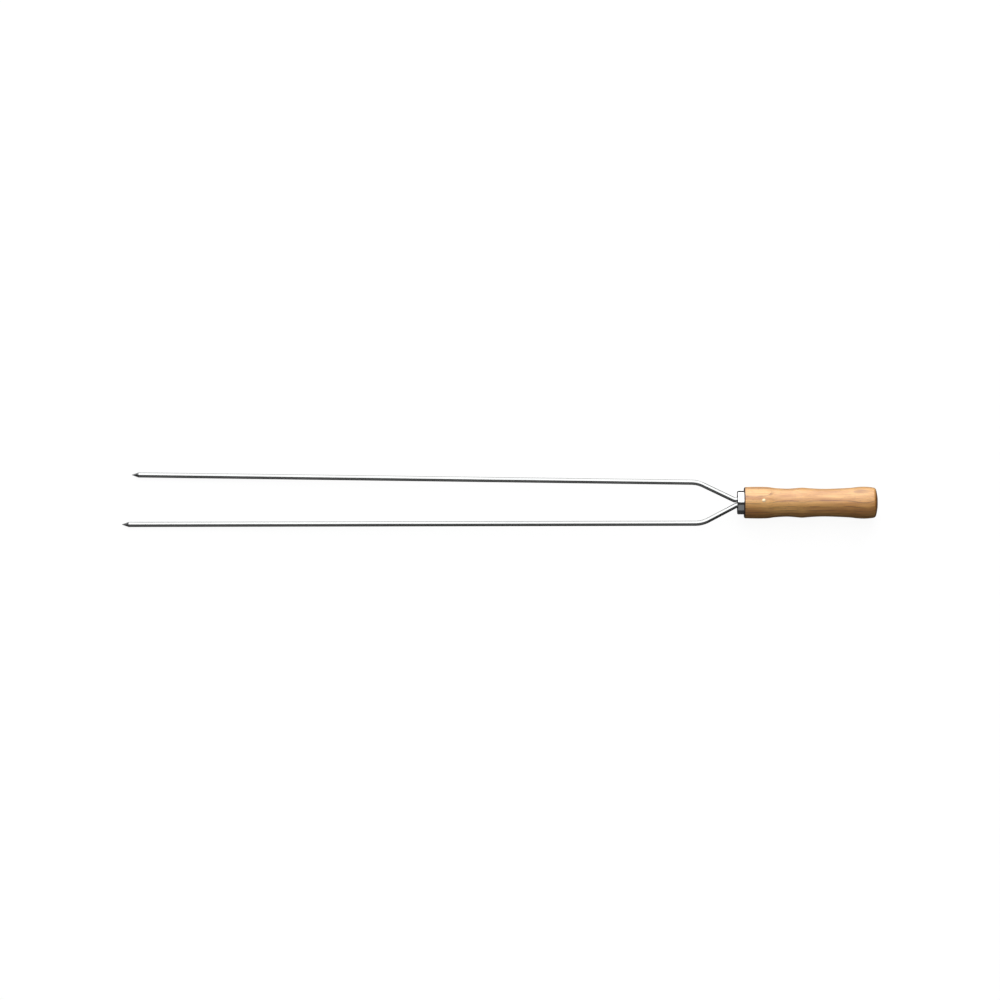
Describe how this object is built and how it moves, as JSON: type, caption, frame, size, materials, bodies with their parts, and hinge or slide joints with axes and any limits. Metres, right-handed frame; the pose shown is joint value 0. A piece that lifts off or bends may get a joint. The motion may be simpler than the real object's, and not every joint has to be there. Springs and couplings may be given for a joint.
{
  "type": "two-pronged skewer",
  "caption": "Long barbecue skewer with a pair of pointed round steel prongs that spread from a metal ferrule on a turned wooden handle.",
  "frame": {"origin": "centre of the flat disc in the middle of the handle's butt, on the handle's axis", "axes": "+X along the handle's axis, out of the butt, so that the prongs point along -X; +Y towards the shorter prong; +Z square to the plane of the prongs, along the cross pin"},
  "size_m": [0.75, 0.0547, 0.0318],
  "materials": {
    "rod_steel": "drawn stainless steel rod, polished bright",
    "ferrule_steel": "drawn stainless steel cap, polished",
    "handle_wood": "honey-coloured turned hardwood, sanded and oiled",
    "pin_aluminium": "cut flush and sanded with the wood"
  },
  "bodies": {
    "root": {"prong_left": "rod_steel", "prong_right": "rod_steel", "ferrule": "ferrule_steel", "handle": "handle_wood", "cross_pin": "pin_aluminium"}
  },
  "joints": []
}
